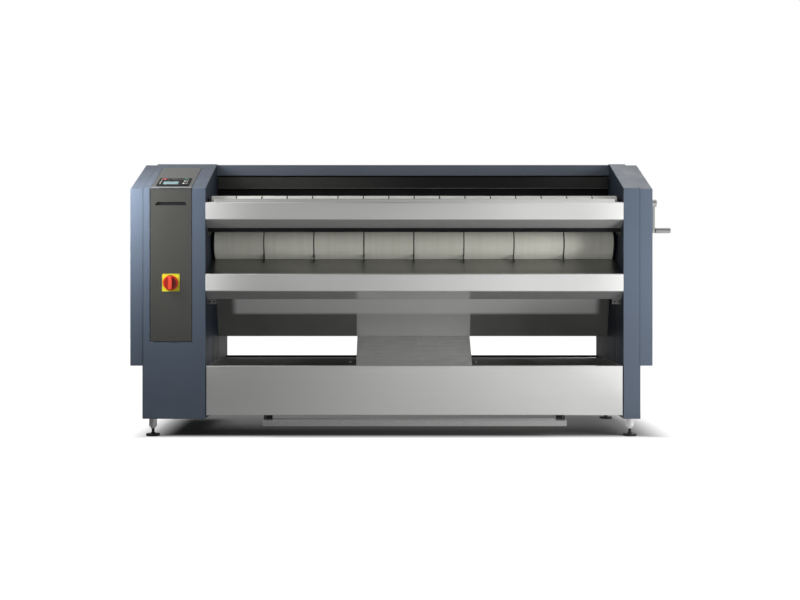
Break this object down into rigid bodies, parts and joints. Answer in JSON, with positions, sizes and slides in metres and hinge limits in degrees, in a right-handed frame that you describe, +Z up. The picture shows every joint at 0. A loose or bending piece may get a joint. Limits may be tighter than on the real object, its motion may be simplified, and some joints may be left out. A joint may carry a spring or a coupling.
{
  "type": "flatwork ironer",
  "caption": "Free-standing flatwork ironer with a heated cylinder, ironing and feed belts, front shelves, linen tray, control slope, service door, pedal bar and hand crank.",
  "frame": {"origin": "on the floor, under the middle of the overall box", "axes": "+X to the operator's right along the machine, +Y from the operator to the rear, +Z up"},
  "size_m": [2.754, 1.05, 1.411],
  "materials": {
    "cabinet_paint": "fine satin powder coat, blue grey",
    "inner_paint": "satin powder coat, very dark blue grey",
    "hood_paint": "satin powder coat, blue grey",
    "stainless": "brushed along the length",
    "dark_steel": "dull brushed",
    "door_paint": "dark warm grey metallic",
    "black_plastic": "fine grained black",
    "display": "pale grey-blue liquid crystal under a clear window",
    "red_plastic": "moulded, glossy",
    "yellow_plastic": "moulded, glossy",
    "green_plastic": "moulded",
    "white_plastic": "moulded",
    "belt_cloth": "woven heat-resistant belt, beige grey",
    "feed_cloth": "woven feed belt, off white",
    "belt_rubber": "ribbed drive belt",
    "steel": "machined",
    "polished_steel": "ground and polished cylinder face",
    "zinc_steel": "zinc plated",
    "black_steel": "black oxide or black paint",
    "aluminium": "cast and machined"
  },
  "bodies": {
    "machine": {"case_screws": "zinc_steel", "control_fascia": "dark_steel", "control_housing": "black_plastic", "cross_beams": "black_steel", "display_lens": "display", "drive_belts": "belt_rubber", "drive_motor": "black_steel", "electrical_plate": "zinc_steel", "exhaust_spigot": "zinc_steel", "exit_plate": "dark_steel", "exit_shelf": "stainless", "feed_bed": "stainless", "feed_belts": "feed_cloth", "feed_shelf": "stainless", "foot_sleeves": "stainless", "heater_support": "steel", "heating_elements": "steel", "hinge_pins": "zinc_steel", "inner_back_panel": "stainless", "ironing_belts": "belt_cloth", "left_cabinet_shell": "cabinet_paint", "left_side_cover": "cabinet_paint", "left_side_frame": "inner_paint", "levelling_feet": "black_steel", "linen_tray": "stainless", "pedal_pivots": "black_steel", "rear_panel": "inner_paint", "return_slide": "stainless", "right_cabinet_shell": "cabinet_paint", "right_side_cover": "cabinet_paint", "right_side_frame": "inner_paint", "shaft_bearings": "steel", "shelf_brackets": "dark_steel", "stripper_fingers": "stainless", "supply_gland": "black_plastic", "top_hood": "hood_paint"},
    "cylinder": {"heated_cylinder": "polished_steel", "cylinder_pulleys": "aluminium"},
    "exit_roller_body": {"exit_roller": "black_steel"},
    "entry_roller_body": {"entry_roller": "steel"},
    "bottom_roller_body": {"bottom_roller": "steel"},
    "rear_lower_roller_body": {"rear_lower_roller": "steel"},
    "rear_upper_roller_body": {"rear_upper_roller": "steel"},
    "feed_roller_rear_body": {"feed_roller_rear": "black_steel"},
    "feed_roller_front_body": {"feed_roller_front": "black_steel", "crank_arm": "zinc_steel"},
    "crank_grip_body": {"crank_grip": "steel"},
    "motor_pulley_body": {"motor_pulley": "aluminium"},
    "finger_guard_body": {"finger_guard": "black_plastic"},
    "pedal_body": {"pedal_bar": "stainless"},
    "door": {"service_door": "door_paint", "door_pull_cup": "black_plastic", "main_switch": "yellow_plastic"},
    "main_switch_knob_body": {"main_switch_knob": "red_plastic"},
    "stop_key_body": {"stop_key": "red_plastic"},
    "start_key_body": {"start_key": "green_plastic"},
    "select_key_left_body": {"select_key_left": "black_plastic"},
    "select_key_right_body": {"select_key_right": "black_plastic"},
    "up_key_body": {"up_key": "white_plastic"},
    "down_key_body": {"down_key": "white_plastic"}
  },
  "joints": [
    {"name": "cylinder_spin", "type": "hinge", "parent": "machine", "child": "cylinder", "pos_m": [0.06, 0.135, 0.99], "axis": [1, 0, 0], "continuous": true},
    {"name": "exit_roller_spin", "type": "hinge", "parent": "machine", "child": "exit_roller_body", "pos_m": [0.06, -0.17799, 0.9818], "axis": [1, 0, 0], "continuous": true},
    {"name": "entry_roller_spin", "type": "hinge", "parent": "machine", "child": "entry_roller_body", "pos_m": [0.06, 0.08805, 1.25903], "axis": [1, 0, 0], "continuous": true},
    {"name": "bottom_roller_spin", "type": "hinge", "parent": "machine", "child": "bottom_roller_body", "pos_m": [0.06, 0.05501, 0.72167], "axis": [1, 0, 0], "continuous": true},
    {"name": "rear_lower_roller_spin", "type": "hinge", "parent": "machine", "child": "rear_lower_roller_body", "pos_m": [0.06, 0.37471, 0.75029], "axis": [1, 0, 0], "continuous": true},
    {"name": "rear_upper_roller_spin", "type": "hinge", "parent": "machine", "child": "rear_upper_roller_body", "pos_m": [0.06, 0.36506, 1.21529], "axis": [1, 0, 0], "continuous": true},
    {"name": "feed_roller_front_spin", "type": "hinge", "parent": "machine", "child": "feed_roller_front_body", "pos_m": [0.06, -0.345, 1.185], "axis": [1, 0, 0], "continuous": true},
    {"name": "feed_roller_rear_spin", "type": "hinge", "parent": "machine", "child": "feed_roller_rear_body", "pos_m": [0.06, -0.063, 1.185], "axis": [1, 0, 0], "continuous": true},
    {"name": "motor_pulley_spin", "type": "hinge", "parent": "machine", "child": "motor_pulley_body", "pos_m": [0.06, 0.135, 0.25], "axis": [1, 0, 0], "continuous": true},
    {"name": "crank_grip_spin", "type": "hinge", "parent": "feed_roller_front_body", "child": "crank_grip_body", "pos_m": [1.336, -0.345, 1.045], "axis": [1, 0, 0], "continuous": true},
    {"name": "finger_guard_swing", "type": "hinge", "parent": "machine", "child": "finger_guard_body", "pos_m": [0.06, 0.015, 1.336], "axis": [1, 0, 0], "range_deg": [0, 15]},
    {"name": "pedal_press", "type": "hinge", "parent": "machine", "child": "pedal_body", "pos_m": [0.06, -0.39, 0.096], "axis": [1, 0, 0], "range_deg": [0, 6], "stiffness_Nm_per_rad": 30, "springref_deg": -17.19},
    {"name": "door_swing", "type": "hinge", "parent": "machine", "child": "door", "pos_m": [-1.269, -0.459, 0.8665], "axis": [0, 0, -1], "range_deg": [0, 95]},
    {"name": "main_switch_turn", "type": "hinge", "parent": "door", "child": "main_switch_knob_body", "pos_m": [-1.17, -0.465, 0.779], "axis": [0, 1, 0], "range_deg": [0, 90]},
    {"name": "stop_key_press", "type": "slide", "parent": "machine", "child": "stop_key_body", "axis": [0, 0.315, -0.9491], "range_m": [0, 0.001], "stiffness_N_per_m": 400, "springref_m": -0.0005},
    {"name": "start_key_press", "type": "slide", "parent": "machine", "child": "start_key_body", "axis": [0, 0.315, -0.9491], "range_m": [0, 0.001], "stiffness_N_per_m": 400, "springref_m": -0.0005},
    {"name": "select_key_left_press", "type": "slide", "parent": "machine", "child": "select_key_left_body", "axis": [0, 0.315, -0.9491], "range_m": [0, 0.001], "stiffness_N_per_m": 400, "springref_m": -0.0005},
    {"name": "select_key_right_press", "type": "slide", "parent": "machine", "child": "select_key_right_body", "axis": [0, 0.315, -0.9491], "range_m": [0, 0.001], "stiffness_N_per_m": 400, "springref_m": -0.0005},
    {"name": "up_key_press", "type": "slide", "parent": "machine", "child": "up_key_body", "axis": [0, 0.315, -0.9491], "range_m": [0, 0.001], "stiffness_N_per_m": 400, "springref_m": -0.0005},
    {"name": "down_key_press", "type": "slide", "parent": "machine", "child": "down_key_body", "axis": [0, 0.315, -0.9491], "range_m": [0, 0.001], "stiffness_N_per_m": 400, "springref_m": -0.0005}
  ],
  "couplings": [
    {"joint": "exit_roller_spin", "follows": "cylinder_spin", "ratio": -2.6434},
    {"joint": "entry_roller_spin", "follows": "cylinder_spin", "ratio": -4.952},
    {"joint": "bottom_roller_spin", "follows": "cylinder_spin", "ratio": -7.1321},
    {"joint": "rear_lower_roller_spin", "follows": "cylinder_spin", "ratio": -4.5542},
    {"joint": "rear_upper_roller_spin", "follows": "cylinder_spin", "ratio": -4.8462},
    {"joint": "feed_roller_front_spin", "follows": "cylinder_spin", "ratio": 6.1297},
    {"joint": "feed_roller_rear_spin", "follows": "cylinder_spin", "ratio": 6.1297},
    {"joint": "motor_pulley_spin", "follows": "cylinder_spin", "ratio": 2.8939}
  ]
}
